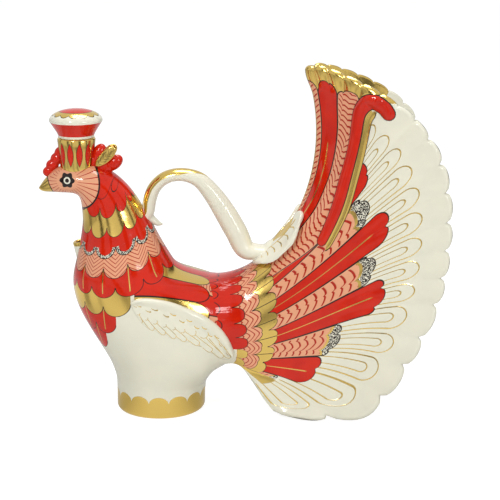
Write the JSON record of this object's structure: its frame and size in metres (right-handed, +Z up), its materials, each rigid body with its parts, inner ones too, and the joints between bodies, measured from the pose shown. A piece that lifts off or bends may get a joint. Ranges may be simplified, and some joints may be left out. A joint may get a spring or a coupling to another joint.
{
  "type": "bird decanter",
  "caption": "Porcelain decanter shaped as a crested bird, with a fan tail, a scroll handle, a crown mouth and a lift-out stopper.",
  "frame": {"origin": "centre of the foot's sole, on the table", "axes": "+X towards the tail, -X towards the beak, +Z up, the mid-plane of the bird is Y = 0"},
  "size_m": [0.2619, 0.0912, 0.2277],
  "materials": {
    "porcelain_white": "glossy white glaze",
    "red_enamel": "glossy orange-red enamel",
    "gold_lustre": "polished gold lustre over the glaze"
  },
  "bodies": {
    "decanter": {"body_shell": "porcelain_white", "foot": "gold_lustre", "neck_and_head": "porcelain_white", "crown_collar": "gold_lustre", "comb_front": "red_enamel", "comb_rear": "red_enamel", "plume_left": "gold_lustre", "plume_right": "gold_lustre", "wing_left": "porcelain_white", "wing_right": "porcelain_white", "tail_crest": "porcelain_white", "tail_fan_left": "porcelain_white", "tail_fan_right": "porcelain_white", "handle": "porcelain_white", "pouring_spout": "porcelain_white"},
    "stopper": {"stopper": "red_enamel"}
  },
  "joints": [
    {"name": "stopper_lift", "type": "slide", "parent": "decanter", "child": "stopper", "axis": [0, 0, 1], "range_m": [0, 0.05]}
  ]
}
